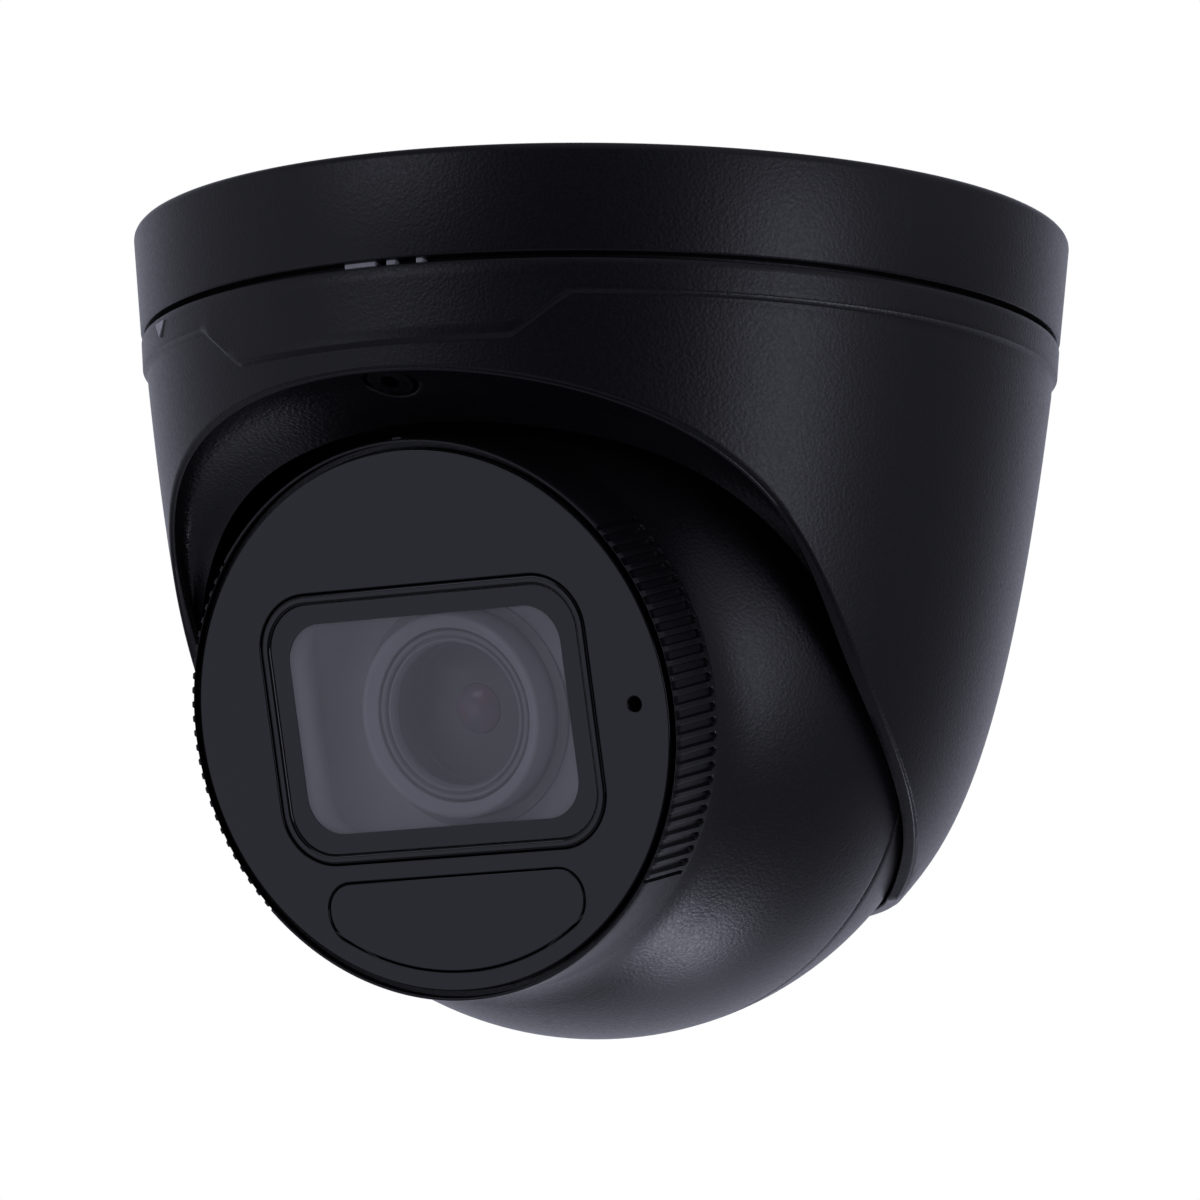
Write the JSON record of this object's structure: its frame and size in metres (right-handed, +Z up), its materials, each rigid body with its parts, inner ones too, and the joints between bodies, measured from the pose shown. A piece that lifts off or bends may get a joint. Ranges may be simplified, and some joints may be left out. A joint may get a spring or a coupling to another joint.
{
  "type": "dome camera",
  "caption": "Ceiling-mounted turret security camera: ball with windowed lens in a panning, tilting, rolling dome mount.",
  "frame": {"origin": "centre of the base's ceiling face, on the pan axis", "axes": "+Z up into the ceiling along the pan axis, -Y towards the lens at rest, +X to the right seen from the front"},
  "size_m": [0.128, 0.128, 0.1095],
  "materials": {
    "black_coat": "satin",
    "black_plastic": "satin",
    "pale_print": "matte",
    "rubber": "matte",
    "zinc_steel": "satin",
    "black_screw": "satin",
    "bare_alloy": "satin",
    "brass": "satin",
    "bearing_plastic": "satin",
    "gloss_panel": "gloss",
    "clear_glass": "gloss",
    "inner_grey": "satin",
    "board": "satin",
    "chip": "gloss"
  },
  "bodies": {
    "base": {"mounting_base": "black_coat", "ceiling_gasket": "rubber", "index_ring": "black_plastic", "index_marks": "pale_print", "cable_grommet": "rubber", "weather_seal": "rubber", "friction_washer": "zinc_steel", "retaining_ring": "zinc_steel", "retaining_screws": "zinc_steel"},
    "cover": {"dome_cover": "black_coat", "cover_arrow": "pale_print", "turntable_ring": "bare_alloy", "turntable_screws": "zinc_steel", "recess_panel": "black_plastic", "lock_insert": "brass", "trunnion_bushes": "bearing_plastic"},
    "lock_screw": {"lock_screw": "black_screw"},
    "yoke": {"tilt_yoke": "zinc_steel", "trunnion_pins": "zinc_steel", "roll_sleeve": "zinc_steel", "roll_clip": "zinc_steel", "ball_grommet": "rubber"},
    "ball": {"ball_front_shell": "black_coat", "ball_rear_shell": "black_coat", "seam_seal": "rubber", "roll_bush": "bearing_plastic", "shell_screws": "zinc_steel", "face_panel": "gloss_panel", "face_seal": "rubber", "window_frame": "black_plastic", "window_mask": "black_plastic", "lens_window": "clear_glass", "ir_window": "gloss_panel", "ir_led_board": "board", "ir_leds": "pale_print", "led_lenses": "clear_glass", "led_heat_block": "bare_alloy", "microphone": "zinc_steel", "mic_seal": "rubber", "lens_shroud": "inner_grey", "chassis_plate": "bare_alloy", "lens_housing": "black_plastic", "lens_front_ring": "bare_alloy", "lens_inner_ring": "black_plastic", "front_element": "clear_glass", "guide_rods": "zinc_steel", "zoom_motor": "zinc_steel", "focus_motor": "zinc_steel", "filter_frame": "inner_grey", "filter_coil": "brass", "image_sensor": "chip", "sensor_board": "board", "main_board": "board", "heat_spreader": "bare_alloy", "board_posts": "zinc_steel"},
    "zoom_group": {"zoom_group": "inner_grey"},
    "zoom_lead_screw": {"zoom_lead_screw": "brass"},
    "focus_group": {"focus_group": "inner_grey"},
    "focus_lead_screw": {"focus_lead_screw": "brass"},
    "ir_cut_filter": {"ir_cut_filter": "clear_glass"}
  },
  "joints": [
    {"name": "pan", "type": "hinge", "parent": "base", "child": "cover", "pos_m": [0, 0, 0], "axis": [0, 0, 1], "range_deg": [-180, 180]},
    {"name": "lock_turn", "type": "hinge", "parent": "cover", "child": "lock_screw", "pos_m": [0.0014, -0.0562, -0.0303], "axis": [0, 0.3907, 0.9205], "range_deg": [0, 720]},
    {"name": "tilt", "type": "hinge", "parent": "cover", "child": "yoke", "pos_m": [0, 0, -0.0603], "axis": [1, 0, 0], "range_deg": [-1, 74]},
    {"name": "roll", "type": "hinge", "parent": "yoke", "child": "ball", "pos_m": [0, 0, -0.0603], "axis": [0, -0.9622, -0.2723], "range_deg": [-180, 180]},
    {"name": "zoom", "type": "slide", "parent": "ball", "child": "zoom_group", "axis": [0, -0.9622, -0.2723], "range_m": [0, 0.006]},
    {"name": "zoom_screw_turn", "type": "hinge", "parent": "ball", "child": "zoom_lead_screw", "pos_m": [0.0195, -0.01924, -0.06575], "axis": [0, -0.9622, -0.2723], "range_deg": [0, 3600]},
    {"name": "focus", "type": "slide", "parent": "ball", "child": "focus_group", "axis": [0, -0.9622, -0.2723], "range_m": [-0.002, 0.002]},
    {"name": "focus_screw_turn", "type": "hinge", "parent": "ball", "child": "focus_lead_screw", "pos_m": [-0.0195, -0.0077, -0.06248], "axis": [0, -0.9622, -0.2723], "range_deg": [-1200, 1200]},
    {"name": "filter_shift", "type": "slide", "parent": "ball", "child": "ir_cut_filter", "axis": [1, 0, 0], "range_m": [0, 0.01]}
  ],
  "couplings": [
    {"joint": "zoom_screw_turn", "follows": "zoom", "rad_per_m": 10472},
    {"joint": "focus_screw_turn", "follows": "focus", "rad_per_m": 10472}
  ]
}
